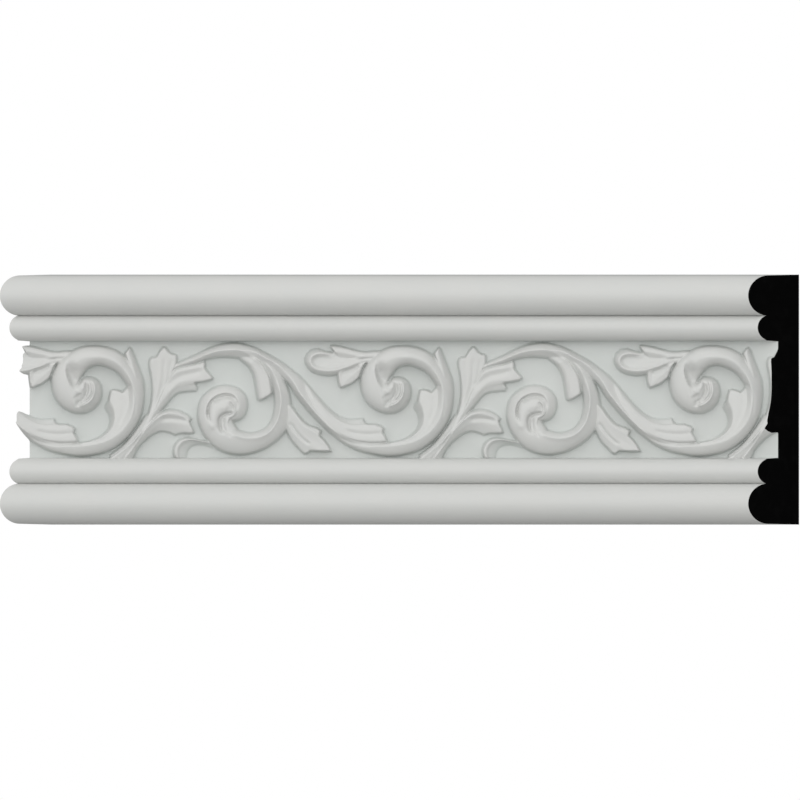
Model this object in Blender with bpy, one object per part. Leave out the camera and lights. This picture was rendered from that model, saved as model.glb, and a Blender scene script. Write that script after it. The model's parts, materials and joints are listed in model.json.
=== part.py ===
"""Chair rail moulding: a board with two plain beads along each edge and a running acanthus scroll between them.

The length is cast in one piece. Both ends are mitred at 45 degrees, parallel to each other. The frame has X along
the run, Z up the wall and -Y out of the wall, with its origin in the middle of the flat back.
"""

import math

import bmesh
import bpy
from mathutils import Matrix, Vector

# Driving sizes of the run
HEIGHT = 0.124
RUN_LENGTH = 0.3712
OUTER_NOSE_DEPTH = 0.0252
INNER_NOSE_DEPTH = 0.0205
FIELD_DEPTH = 0.0104

# Beads: half round, and mirrored about the middle of the height
OUTER_BEAD_RADIUS = 0.0100
INNER_BEAD_RADIUS = 0.0064
EDGE_DRAFT = 0.0004
OUTER_BEAD_MIDDLE = HEIGHT / 2 - EDGE_DRAFT - OUTER_BEAD_RADIUS
INNER_BEAD_MIDDLE = 0.0357
FIELD_HALF_HEIGHT = 0.0288
STEP_HEIGHT = 0.0057
STEP_DRAFT = 0.0005
BEAD_FACET_TURN = 15
OUTER_BEAD_TURN = (-75, 90)
INNER_BEAD_TURN = (-60, 60)

# Ornament: one repeat of the scroll, placed along the run. The drawing of the scroll is in millimetres.
MM = 0.001
REPEAT = 0.1533
FIRST_REPEAT_X = -0.07085
REPEATS = (-2, -1, 0, 1)
EMBED = 0.0012
EMBED_STEP = 0.00006
FACET_LENGTH = 4.2 * MM
LEAF_ROWS = 7
ROUND_SECTION = 6
SLIM_SECTION = 4

MITRE_CUTTER_SIZE = 0.26

# Stems: stations of (along, up, width, height over the field, crest). The crest is the place of the highest line
# across the stem, from -1 at its right-hand edge to 1 at its left-hand edge, seen on the way along.
STEMS = {
    "vine": [
        (101.0, 16.2, 2.6, 3.2, 0.0),
        (110.0, 20.6, 4.2, 4.4, 0.1),
        (120.0, 23.5, 6.2, 5.4, 0.1),
        (131.0, 24.6, 6.8, 6.2, 0.1),
        (143.0, 21.8, 5.8, 6.2, -0.1),
        (153.0, 15.6, 5.4, 6.0, -0.3),
        (166.0, 1.7, 7.0, 6.2, -0.35),
        (177.0, -12.0, 7.6, 6.6, -0.35),
        (189.0, -21.3, 6.8, 6.2, -0.2),
        (203.3, -25.0, 6.6, 6.2, 0.4),
        (214.3, -24.0, 7.6, 6.4, 0.4),
        (226.3, -17.5, 8.6, 6.6, 0.3),
        (233.6, -6.5, 8.8, 6.6, 0.2),
        (233.8, 6.5, 9.0, 6.6, 0.1),
        (227.5, 16.3, 9.6, 6.8, 0.0),
        (216.3, 21.7, 9.9, 7.2, 0.0),
        (205.7, 19.6, 12.0, 7.6, -0.1),
        (199.7, 11.5, 14.2, 8.0, -0.3),
        (201.1, 2.7, 13.4, 8.0, -0.3),
        (207.1, -2.6, 9.4, 7.6, -0.1),
        (213.5, 0.6, 7.0, 7.0, 0.2),
        (214.6, 5.6, 5.6, 6.4, 0.3),
        (212.3, 9.4, 4.0, 5.4, 0.2),
        (208.7, 10.8, 1.4, 3.6, 0.0),
    ],
    "vine_eye": [
        (202.3, 6.0, 5.0, 4.4, 0.0),
        (206.7, 3.4, 5.0, 4.8, 0.0),
        (210.3, 5.0, 4.6, 4.6, 0.0),
        (210.5, 9.2, 2.6, 3.6, 0.0),
    ],
    "volute": [
        (134.0, 23.6, 3.4, 4.2, 0.0),
        (143.4, 19.2, 5.4, 5.0, 0.0),
        (150.4, 11.3, 8.0, 5.8, 0.0),
        (153.6, 0.0, 8.6, 6.4, -0.3),
        (152.2, -11.6, 9.0, 6.8, -0.4),
        (144.6, -20.0, 9.6, 7.0, -0.4),
        (133.0, -22.4, 11.6, 7.0, -0.3),
        (121.6, -17.8, 12.2, 7.0, -0.1),
        (115.0, -9.2, 7.6, 6.8, -0.2),
        (115.8, -1.2, 6.2, 6.6, -0.3),
        (121.0, 4.3, 5.4, 6.2, -0.3),
        (127.8, 4.6, 5.2, 6.2, -0.4),
        (132.9, 0.4, 6.6, 6.2, -0.5),
        (132.7, -5.6, 5.6, 5.6, -0.4),
        (128.2, -10.0, 1.6, 3.6, 0.0),
    ],
    "volute_core": [
        (122.4, -19.0, 4.6, 4.6, 0.2),
        (119.6, -12.6, 5.4, 6.2, 0.2),
        (119.8, -7.0, 5.6, 6.6, 0.2),
        (122.6, -3.2, 6.4, 6.6, 0.1),
        (126.2, -2.8, 5.4, 5.8, 0.1),
        (128.2, -5.2, 2.4, 4.2, 0.0),
    ],
    "volute_lip": [
        (149.0, -15.0, 3.0, 4.6, 0.0),
        (142.0, -18.6, 4.6, 5.6, 0.0),
        (134.0, -18.0, 5.4, 5.8, 0.0),
        (128.6, -14.2, 5.6, 5.4, 0.0),
        (125.9, -10.6, 4.4, 4.8, 0.0),
        (125.2, -7.8, 2.0, 4.2, 0.0),
    ],
    "tendril": [
        (120.0, -22.6, 4.0, 4.6, 0.0),
        (113.5, -21.1, 3.2, 3.4, 0.2),
        (107.5, -20.9, 3.8, 3.2, 0.3),
        (103.4, -22.8, 6.2, 3.4, 0.5),
        (102.6, -26.0, 7.2, 3.4, 0.5),
        (103.0, -30.5, 6.6, 3.2, 0.4),
    ],
    "sheath": [
        (83.6, 2.0, 3.0, 4.6, 0.0),
        (83.4, 8.0, 4.6, 5.6, 0.1),
        (81.2, 14.5, 7.0, 6.0, 0.1),
        (78.8, 20.6, 6.6, 5.4, 0.1),
        (78.0, 26.1, 0.8, 2.6, 0.0),
    ],
    "tongue": [
        (125.0, 22.0, 1.6, 3.4, 0.0),
        (132.4, 21.2, 4.2, 4.0, 0.2),
        (138.8, 17.0, 6.2, 4.4, 0.3),
        (142.8, 11.0, 8.0, 4.8, 0.3),
        (144.6, 5.0, 8.6, 4.8, 0.2),
        (143.4, 1.2, 5.4, 4.4, 0.0),
        (142.4, -0.6, 1.4, 3.0, 0.0),
    ],
}
SLIM_STEMS = ("vine_eye", "volute_core", "volute_lip", "tendril", "sheath")

# Leaves: a left and a right edge from root to tip, the teeth of the end between them, and the heights over the field
# at the root and at the end. Edge is the share of that height which the two edges keep.
LEAVES = {
    "long_leaf": {
        "left": [(160, 13.0), (168, 5.3), (176, -3.0), (184, -8.5), (194, -9.0)],
        "right": [(158.5, 9.5), (166, 0.5), (175, -11), (190, -20.8), (206.2, -21.5)],
        "teeth": [(195, -11.8), (200.5, -12.2), (204.4, -14.0), (203.6, -16.4), (205.8, -18.8)],
        "root": 6.2,
        "end": 4.4,
        "edge": 0.6,
    },
    "inner_leaf": {
        "left": [(55, -22.0), (64, -18.2), (68.8, -12.0), (65.2, -2.6)],
        "right": [(56, -23.4), (70, -19.0), (79, -8.0), (79.6, 2), (76.6, 9)],
        "teeth": [(67.6, 0.4), (68.0, 5.0), (71, 4.9), (74.2, 4.0), (75.6, 6.0)],
        "root": 6.4,
        "end": 4.8,
        "edge": 0.6,
    },
    "fan_top": {
        "left": [(69, -29.4), (79, -19), (86, -8), (88.5, 3), (87.1, 18), (88.4, 21.3)],
        "right": [(74.6, -29.4), (88, -12.5), (96, 4), (101.1, 22.5)],
        "teeth": [(90.4, 21.0), (95.0, 26.5), (98.2, 22.9)],
        "root": 4.6,
        "end": 4.0,
        "edge": 0.75,
    },
    "fan_side": {
        "left": [(86, -12), (94, 5), (99, 13.6), (105, 17.1), (114.8, 19.3)],
        "right": [(88, -13), (97, -1), (101, 2.8), (111.4, 4.2)],
        "teeth": [(115.3, 15.2), (119.7, 10.8), (110.3, 8.0)],
        "root": 3.4,
        "end": 5.0,
        "edge": 0.7,
    },
    "fan_low": {
        "left": [(73.8, -29.6), (80, -22), (91, -8.2), (96, -5), (102, -5.2), (108.6, -9.6)],
        "right": [(79.4, -29.6), (88, -18.3), (92, -16.2), (100.4, -17.6)],
        "teeth": [(107.4, -11.4), (110.0, -16.6), (104.5, -16.9)],
        "root": 5.2,
        "end": 4.4,
        "edge": 0.75,
    },
    "palm_top": {
        "left": [(54, 23.0), (47, 23.6), (42, 23.3), (34, 24.6), (23.6, 26.7)],
        "right": [(54, 19.5), (41, 19.8), (29, 20.6), (23.3, 24.9)],
        "teeth": [],
        "root": 4.8,
        "end": 4.6,
        "edge": 0.6,
    },
    "palm_curl": {
        "left": [(53, 21.0), (38, 21.6), (25.5, 23.6), (17.5, 25.0)],
        "right": [(52, 19), (40, 16), (27.2, 12.2), (17, 12.7)],
        "teeth": [(14, 23.8), (11.9, 21), (11.7, 17.8), (13.6, 14.8)],
        "root": 5.0,
        "end": 5.6,
        "edge": 0.75,
    },
    "palm_low": {
        "left": [(47, 19), (33, 14.0), (28.6, 12.6), (27.3, 8.6)],
        "right": [(47, 16), (41.2, 14.6), (36.5, 9.5), (30.4, 6.0)],
        "teeth": [(28.2, 6.6)],
        "root": 4.4,
        "end": 4.4,
        "edge": 0.7,
    },
    "drop_leaf": {
        "left": [(156, -2.5), (162, -8.2), (166, -11.6), (173.4, -15)],
        "right": [(155, -8), (158.5, -13), (164, -20.6), (168, -25.6)],
        "teeth": [(172.0, -17.9), (176, -22), (178.2, -26.0)],
        "root": 5.0,
        "end": 4.2,
        "edge": 0.7,
    },
    "drop_lobe": {
        "left": [(155, -5), (160, -12.5), (165, -19.5), (168.4, -25.2)],
        "right": [(154, -13), (157.5, -19), (160, -23.2), (165, -27.1)],
        "teeth": [],
        "root": 4.6,
        "end": 3.8,
        "edge": 0.7,
    },
}


def clear_scene():
    """Removes every object, so that the script can be run again."""
    for item in list(bpy.data.objects):
        bpy.data.objects.remove(item, do_unlink=True)


def material(name, colour, roughness):
    """A plain Principled finish."""
    finish = bpy.data.materials.new(name)
    finish.use_nodes = True
    shader = finish.node_tree.nodes["Principled BSDF"]
    shader.inputs["Base Color"].default_value = (*colour, 1.0)
    shader.inputs["Roughness"].default_value = roughness
    shader.inputs["Metallic"].default_value = 0.0
    return finish


def catmull(stations, steps):
    """Rows spread along a centripetal Catmull-Rom curve through the stations, whose first two numbers are a place."""
    rows = [Vector(s) for s in stations]
    rows = [2 * rows[0] - rows[1], *rows, 2 * rows[-1] - rows[-2]]
    dense = []
    samples = 12
    for a, b, c, d in zip(rows, rows[1:], rows[2:], rows[3:]):
        knots = [0.0]
        for p, q in ((a, b), (b, c), (c, d)):
            knots.append(knots[-1] + math.sqrt(max(math.dist(p[:2], q[:2]), 1e-6)))
        for k in range(samples + 1):
            t = knots[1] + (knots[2] - knots[1]) * k / samples
            one = [mix_at(t, knots[i], knots[i + 1], p, q) for i, (p, q) in enumerate(((a, b), (b, c), (c, d)))]
            two = [mix_at(t, knots[i], knots[i + 2], one[i], one[i + 1]) for i in range(2)]
            dense.append(mix_at(t, knots[1], knots[2], two[0], two[1]))
    return spread(dense, steps)


def mix_at(t, start, end, first, second):
    """The value at t on the line from first, at start, to second, at end."""
    share = (t - start) / (end - start)
    return first * (1 - share) + second * share


def spread(rows, steps):
    """steps + 1 rows at even distances along a polyline."""
    reach = [0.0]
    for p, q in zip(rows, rows[1:]):
        reach.append(reach[-1] + math.dist(p[:2], q[:2]))
    found = []
    i = 0
    for k in range(steps + 1):
        want = reach[-1] * k / steps
        while i < len(rows) - 2 and reach[i + 1] < want:
            i += 1
        gap = max(reach[i + 1] - reach[i], 1e-9)
        share = min(max((want - reach[i]) / gap, 0.0), 1.0)
        found.append(rows[i] * (1 - share) + rows[i + 1] * share)
    return found


def length_of(points):
    return sum(math.dist(p[:2], q[:2]) for p, q in zip(points, points[1:]))


def stem_grid(stations, facets):
    """Rows of (along, up, height) over a stem, each from its left edge to its right edge, on a rounded section."""
    steps = max(4, round(length_of(stations) * MM / FACET_LENGTH))
    rows = catmull(stations, steps)
    grid = []
    for i, row in enumerate(rows):
        before, after = rows[max(i - 1, 0)], rows[min(i + 1, steps)]
        way = Vector((after[0] - before[0], after[1] - before[1])).normalized()
        left = Vector((-way.y, way.x))
        middle = Vector(row[:2])
        _, _, width, height, crest = row
        across = []
        for j in range(facets + 1):
            turn = math.pi / 2 - math.pi * j / facets
            side = math.sin(turn)
            place = crest + side * (1 - crest) if side > 0 else crest + side * (1 + crest)
            at = middle + left * (place * width / 2)
            across.append((at.x, at.y, height * math.cos(turn)))
        grid.append(across)
    return grid


def leaf_grid(leaf):
    """Rows of (along, up, height) over a leaf. The rows run across it, and its last row is the toothed end."""
    left = catmull(leaf["left"], LEAF_ROWS)
    right = catmull(leaf["right"], LEAF_ROWS)
    teeth = [Vector(p) for p in leaf["teeth"]] or [(left[-1] + right[-1]) / 2]
    end = [left[-1], *teeth, right[-1]]
    cells = len(end) - 1
    reach = [length_of(end[: j + 1]) / length_of(end) for j in range(cells + 1)]
    grid = []
    for i in range(LEAF_ROWS + 1):
        share = i / LEAF_ROWS
        across = []
        for j in range(cells + 1):
            straight = left[i] * (1 - reach[j]) + right[i] * reach[j]
            tooth = end[j] - (left[-1] * (1 - reach[j]) + right[-1] * reach[j])
            at = straight + tooth * share**3
            dome = leaf["edge"] + (1 - leaf["edge"]) * math.sin(math.pi * reach[j])
            tall = leaf["root"] * (1 - share) + leaf["end"] * share
            across.append((at.x, at.y, tall * dome))
        grid.append(across)
    return grid


def in_run(along, up, repeat):
    """A place of the ornament, in metres, on the run's X and Z."""
    return Vector((FIRST_REPEAT_X + REPEAT * repeat + along * MM, 0.0, up * MM))


def relief_solid(name, grid, repeat, embed, finish):
    """A closed solid under a grid of heights, with its underside inside the board."""
    mesh = bpy.data.meshes.new(name)
    shape = bmesh.new()
    top, base = [], []
    for across in grid:
        top.append([])
        base.append([])
        for along, up, height in across:
            place = in_run(along, up, repeat)
            top[-1].append(shape.verts.new(place + Vector((0, -FIELD_DEPTH - height * MM, 0))))
            base[-1].append(shape.verts.new(place + Vector((0, -FIELD_DEPTH + embed, 0))))
    last_row, last_column = len(grid) - 1, len(grid[0]) - 1
    for i in range(last_row):
        for j in range(last_column):
            shape.faces.new((top[i][j], top[i + 1][j], top[i + 1][j + 1], top[i][j + 1]))
            shape.faces.new((base[i][j], base[i][j + 1], base[i + 1][j + 1], base[i + 1][j]))
    rim = [(i, 0) for i in range(last_row)]
    rim += [(last_row, j) for j in range(last_column)]
    rim += [(i, last_column) for i in range(last_row, 0, -1)]
    rim += [(0, j) for j in range(last_column, 0, -1)]
    for (i, j), (k, m) in zip(rim, rim[1:] + rim[:1]):
        shape.faces.new((top[i][j], base[i][j], base[k][m], top[k][m]))
    bmesh.ops.recalc_face_normals(shape, faces=shape.faces)
    shape.to_mesh(mesh)
    shape.free()
    mesh.materials.append(finish)
    return mesh


def bead(nose, middle, radius, turn):
    """Points of (depth, up) round a bead, over a turn in degrees from straight out of the wall."""
    turns = [math.radians(t) for t in range(turn[0], turn[1] + 1, BEAD_FACET_TURN)]
    return [(nose - radius + radius * math.cos(t), middle + radius * math.sin(t)) for t in turns]


def half_profile():
    """Section from the field's upper edge to the top of the back, as points of (depth, up)."""
    step = [(FIELD_DEPTH, FIELD_HALF_HEIGHT), (FIELD_DEPTH + STEP_HEIGHT, FIELD_HALF_HEIGHT + STEP_DRAFT)]
    inner = bead(INNER_NOSE_DEPTH, INNER_BEAD_MIDDLE, INNER_BEAD_RADIUS, INNER_BEAD_TURN)
    outer = bead(OUTER_NOSE_DEPTH, OUTER_BEAD_MIDDLE, OUTER_BEAD_RADIUS, OUTER_BEAD_TURN)
    return [*step, *inner, *outer, (0.0, HEIGHT / 2)]


def board(finish):
    """The plain run: the section drawn out along X, longer than the cut piece."""
    upper = half_profile()
    lower = [(depth, -up) for depth, up in reversed(upper)]
    half_run = RUN_LENGTH / 2 + 2 * OUTER_NOSE_DEPTH
    shape = bmesh.new()
    corners = [shape.verts.new((-half_run, -depth, up)) for depth, up in upper + lower]
    section = shape.faces.new(corners)
    drawn = bmesh.ops.extrude_face_region(shape, geom=[section])
    ends = [g for g in drawn["geom"] if isinstance(g, bmesh.types.BMVert)]
    bmesh.ops.translate(shape, verts=ends, vec=(2 * half_run, 0, 0))
    bmesh.ops.recalc_face_normals(shape, faces=shape.faces)
    mesh = bpy.data.meshes.new("chair_rail_moulding")
    shape.to_mesh(mesh)
    shape.free()
    mesh.materials.append(finish)
    item = bpy.data.objects.new("chair_rail_moulding", mesh)
    bpy.context.scene.collection.objects.link(item)
    return item


def as_tool(name, mesh, group):
    """An object that only joins or cuts another one."""
    item = bpy.data.objects.new(name, mesh)
    group.objects.link(item)
    item.hide_render = True
    item.display_type = "WIRE"
    return item


def ornament(finish):
    """A collection of every stem and leaf that stands on the run's field."""
    group = bpy.data.collections.new("ornament")
    bpy.context.scene.collection.children.link(group)
    grids = {}
    for name, stations in STEMS.items():
        grids[name] = stem_grid(stations, SLIM_SECTION if name in SLIM_STEMS else ROUND_SECTION)
    for name, leaf in LEAVES.items():
        grids[name] = leaf_grid(leaf)
    left_end = -RUN_LENGTH / 2 - FIELD_DEPTH
    right_end = RUN_LENGTH / 2 - FIELD_DEPTH
    for repeat in REPEATS:
        for order, (name, grid) in enumerate(grids.items()):
            places = [in_run(along, up, repeat).x for across in grid for along, up, _ in across]
            if min(places) > right_end or max(places) < left_end:
                continue
            mesh = relief_solid(name, grid, repeat, EMBED + EMBED_STEP * order, finish)
            as_tool(f"{name}.{repeat + 2}", mesh, group)
    return group


def mitre_cutter(side, finish):
    """A block whose near face is the mitre at one end: side is -1 on the left and 1 on the right."""
    shape = bmesh.new()
    bmesh.ops.create_cube(shape, size=MITRE_CUTTER_SIZE)
    bmesh.ops.translate(shape, verts=shape.verts, vec=(side * MITRE_CUTTER_SIZE / 2, 0, 0))
    bmesh.ops.rotate(shape, verts=shape.verts, matrix=Matrix.Rotation(math.radians(-45), 3, "Z"))
    bmesh.ops.translate(shape, verts=shape.verts, vec=(side * RUN_LENGTH / 2, 0, 0))
    mesh = bpy.data.meshes.new("mitre")
    shape.to_mesh(mesh)
    shape.free()
    mesh.materials.append(finish)
    return as_tool(f"mitre_{'right' if side > 0 else 'left'}", mesh, bpy.context.scene.collection)


def join_or_cut(item, name, operation, tool=None, group=None):
    """A Boolean on the moulding, by one object or by a whole collection."""
    change = item.modifiers.new(name, "BOOLEAN")
    change.operation = operation
    change.solver = "EXACT"
    change.material_mode = "TRANSFER"
    if group is not None:
        change.operand_type = "COLLECTION"
        change.collection = group
        change.use_self = True
    else:
        change.object = tool


def main():
    clear_scene()
    primed = material("primed_polyurethane", (0.60, 0.62, 0.60), 0.45)
    blackened = material("blackened_section", (0.004, 0.004, 0.004), 0.9)
    moulding = board(primed)
    join_or_cut(moulding, "ornament", "UNION", group=ornament(primed))
    for side in (-1, 1):
        cutter = mitre_cutter(side, blackened)
        join_or_cut(moulding, cutter.name, "DIFFERENCE", tool=cutter)


main()
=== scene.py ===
"""Chair rail moulding, finished: the casting with its scroll in relief, its primer and its sawn ends.

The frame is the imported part's: X along the run, -Y out of the wall, Z up the wall, in metres. The scroll is
drawn in millimetres over one repeat, and each stem and leaf of it is modelled once and copied along the run.
"""

import json
import math

import bpy
import numpy as np
from mathutils import Matrix, Vector

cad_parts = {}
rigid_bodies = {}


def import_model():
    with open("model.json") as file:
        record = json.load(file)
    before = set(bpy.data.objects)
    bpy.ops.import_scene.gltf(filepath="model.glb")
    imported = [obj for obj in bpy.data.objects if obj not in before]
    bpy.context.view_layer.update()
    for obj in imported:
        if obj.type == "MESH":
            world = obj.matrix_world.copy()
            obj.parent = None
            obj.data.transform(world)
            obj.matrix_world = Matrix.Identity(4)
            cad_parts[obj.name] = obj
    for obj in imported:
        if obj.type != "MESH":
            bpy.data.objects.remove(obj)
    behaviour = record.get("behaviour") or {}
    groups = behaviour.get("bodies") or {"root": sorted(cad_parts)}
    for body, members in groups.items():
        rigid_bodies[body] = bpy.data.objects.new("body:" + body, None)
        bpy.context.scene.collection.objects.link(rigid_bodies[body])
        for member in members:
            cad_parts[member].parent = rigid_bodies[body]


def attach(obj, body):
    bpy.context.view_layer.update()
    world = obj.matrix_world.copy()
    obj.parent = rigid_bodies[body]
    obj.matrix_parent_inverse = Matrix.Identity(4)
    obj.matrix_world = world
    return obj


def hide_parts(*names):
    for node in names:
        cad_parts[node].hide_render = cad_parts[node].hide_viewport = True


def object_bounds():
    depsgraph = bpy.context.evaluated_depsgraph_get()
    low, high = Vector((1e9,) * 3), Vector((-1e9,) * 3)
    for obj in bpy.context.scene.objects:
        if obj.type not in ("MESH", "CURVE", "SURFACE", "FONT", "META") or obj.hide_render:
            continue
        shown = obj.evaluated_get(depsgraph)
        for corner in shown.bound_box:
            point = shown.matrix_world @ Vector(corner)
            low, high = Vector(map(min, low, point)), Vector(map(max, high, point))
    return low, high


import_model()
cad_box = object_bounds()

MM = 0.001
NODE = "chair_rail_moulding"

# The board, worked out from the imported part's box
LOW, HIGH = cad_box
HEIGHT = HIGH.z - LOW.z
OUTER_NOSE = HIGH.y - LOW.y
RUN = HIGH.x - LOW.x - OUTER_NOSE
FIELD = 10.4 * MM
INNER_NOSE = 20.5 * MM
OUTER_BEAD_RADIUS = 10.0 * MM
INNER_BEAD_RADIUS = 6.4 * MM
EDGE_DRAFT = 0.4 * MM
OUTER_BEAD_MIDDLE = HEIGHT / 2 - EDGE_DRAFT - OUTER_BEAD_RADIUS
INNER_BEAD_MIDDLE = 35.7 * MM
FIELD_HALF_HEIGHT = 28.8 * MM
STEP_HEIGHT = 5.7 * MM
STEP_DRAFT = 0.5 * MM
INNER_BEAD_TURNS = (-60, 66)
OUTER_BEAD_TURNS = (-84, 90)
BEAD_TURN_STEP = 4
BOARD_UNDER_FIELD = 1.0 * MM
SLAB = 4 * MM
SLAB_INTO_STEP = 1 * MM

# The saw takes a vertex as on its cut within SAW_REACH and a face within ON_CUT, both in metres. An edge that
# is sharper than CREASE stays hard.
SAW_REACH = 1e-7
ON_CUT = 1e-5
CREASE = math.radians(35)

# The scroll in relief, in millimetres
REPEAT = 153.3
FIRST_REPEAT_X = -70.85
REPEATS = (-2, -1, 0, 1)
EMBED = 1.4
CURVE_STEPS = 40
LINE_POINTS = 90
STATION_GAP = 0.5
ACROSS_STEM = 32
ACROSS_LEAF = 56
LEAF_ROWS = 96
CREST_REACH = 0.8
ROUND_OVER = 1.0
ROUND_OVER_DROP = 0.8
STEM_FOOT = 0.14
FULLNESS = 2.5
LINE_FADE = 0.16
SCOOP_FADE = 0.45
SCOOP_WALL = 1.6
LEAST_HEIGHT = 1.2
VOXEL = 0.32 * MM
SMOOTHING_PASSES = 2
RELIEF_TRIANGLES = 165000

# Stems: stations of (along, up, width, height, crest, roof). The crest is the place of the highest line
# across the stem, from -1 at its right-hand edge to 1 at its left-hand edge, seen on the way along. The roof
# is 0 for a rounded section and 1 for one ridged like a roof, with its eaves at STEM_FOOT of its height.
STEMS = {
    "vine": [
        (97.6, 14.6, 2.4, 2.8, 0.0, 0.4),
        (101.6, 16.9, 3.0, 3.6, 0.0, 0.4),
        (106.0, 18.5, 4.0, 4.2, 0.0, 0.4),
        (110.1, 19.9, 4.6, 4.8, 0.0, 0.5),
        (115.0, 22.0, 5.3, 5.4, 0.0, 0.6),
        (119.9, 23.6, 6.3, 5.9, 0.05, 0.6),
        (125.3, 24.4, 7.4, 6.4, 0.05, 0.6),
        (131.2, 24.3, 8.0, 6.4, 0.1, 0.6),
        (138.2, 22.8, 7.4, 6.2, 0.3, 0.6),
        (144.9, 19.5, 7.2, 6.2, 0.3, 0.6),
        (151.5, 15.9, 7.0, 6.0, 0.2, 0.5),
        (157.2, 11.6, 7.0, 6.0, -0.1, 0.5),
        (159.9, 9.0, 7.4, 6.2, -0.25, 0.5),
        (163.5, 4.2, 8.5, 6.9, -0.4, 0.8),
        (167.3, -0.5, 8.8, 7.2, -0.42, 0.9),
        (172.4, -6.8, 8.0, 7.2, -0.42, 0.9),
        (178.6, -13.1, 7.6, 6.9, -0.4, 0.8),
        (186.1, -19.1, 7.2, 5.6, -0.1, 0.4),
        (192.3, -22.4, 6.8, 5.4, 0.1, 0.3),
        (198.6, -24.1, 6.5, 5.6, 0.3, 0.3),
        (205.3, -24.7, 7.3, 6.2, 0.45, 0.3),
        (212.6, -23.9, 7.9, 7.0, 0.4, 0.3),
        (220.0, -21.2, 8.8, 7.6, 0.2, 0.3),
        (227.2, -15.4, 9.2, 8.2, 0.0, 0.3),
        (232.2, -7.4, 9.4, 8.4, 0.0, 0.4),
        (234.0, 1.0, 9.2, 8.4, 0.15, 0.5),
        (233.6, 8.0, 8.8, 8.4, 0.3, 0.5),
        (229.0, 14.9, 8.4, 8.6, 0.15, 0.3),
        (223.1, 19.8, 9.8, 9.0, 0.15, 0.2),
        (214.9, 21.85, 10.1, 9.2, 0.15, 0.2),
        (206.4, 19.6, 12.4, 9.0, 0.0, 0.1),
        (200.0, 11.4, 15.4, 8.6, 0.05, 0.1),
        (200.9, 3.0, 14.6, 8.4, 0.1, 0.1),
        (206.4, -1.8, 10.8, 7.8, 0.2, 0.2),
        (211.0, -0.8, 7.0, 6.6, 0.3, 0.4),
    ],
    "fan_root": [
        (70.0, -30.0, 7.0, 4.6, 0.0, 0.0),
        (76.4, -24.4, 6.0, 5.2, 0.0, 0.0),
        (82.6, -17.0, 6.0, 5.6, 0.0, 0.0),
        (88.0, -9.0, 6.0, 4.6, 0.0, 0.0),
    ],
    "volute": [
        (142.0, 20.6, 4.6, 4.6, 0.0, 0.4),
        (146.6, 16.6, 5.6, 5.2, 0.0, 0.5),
        (150.6, 10.2, 7.0, 5.6, 0.0, 0.6),
        (153.3, 2.0, 8.4, 6.8, -0.15, 0.6),
        (153.6, -6.0, 9.3, 7.2, -0.3, 0.6),
        (151.6, -12.8, 9.5, 7.4, -0.35, 0.5),
        (146.4, -18.3, 9.2, 7.6, -0.35, 0.4),
        (138.3, -21.4, 10.8, 7.6, -0.5, 0.35),
        (131.0, -21.3, 12.8, 7.6, -0.5, 0.3),
        (124.0, -19.2, 12.4, 7.4, -0.35, 0.2),
        (117.8, -14.2, 9.6, 7.0, -0.2, 0.2),
        (114.3, -8.0, 6.5, 6.4, -0.35, 0.4),
        (115.3, -1.2, 6.0, 6.4, -0.45, 0.5),
        (118.0, 1.9, 5.8, 6.4, -0.45, 0.5),
        (121.6, 4.0, 5.8, 6.4, -0.5, 0.5),
        (125.9, 4.7, 5.6, 6.4, -0.5, 0.5),
        (130.2, 3.3, 6.0, 6.3, -0.55, 0.5),
        (133.0, 0.2, 6.3, 6.3, -0.6, 0.6),
        (133.4, -3.7, 6.2, 6.2, -0.6, 0.6),
        (132.4, -7.2, 5.4, 5.8, -0.5, 0.6),
        (130.2, -9.2, 3.6, 5.0, -0.3, 0.5),
        (127.6, -9.8, 1.8, 4.4, 0.0, 0.3),
    ],
    "volute_lip": [
        (126.4, -8.4, 3.2, 4.6, -0.2, 0.2),
        (127.0, -11.0, 4.4, 5.6, -0.4, 0.3),
        (127.9, -13.4, 5.0, 6.2, -0.4, 0.3),
        (129.6, -15.8, 4.8, 6.2, -0.3, 0.3),
        (132.5, -18.0, 3.6, 5.6, 0.0, 0.3),
    ],
}

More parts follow.
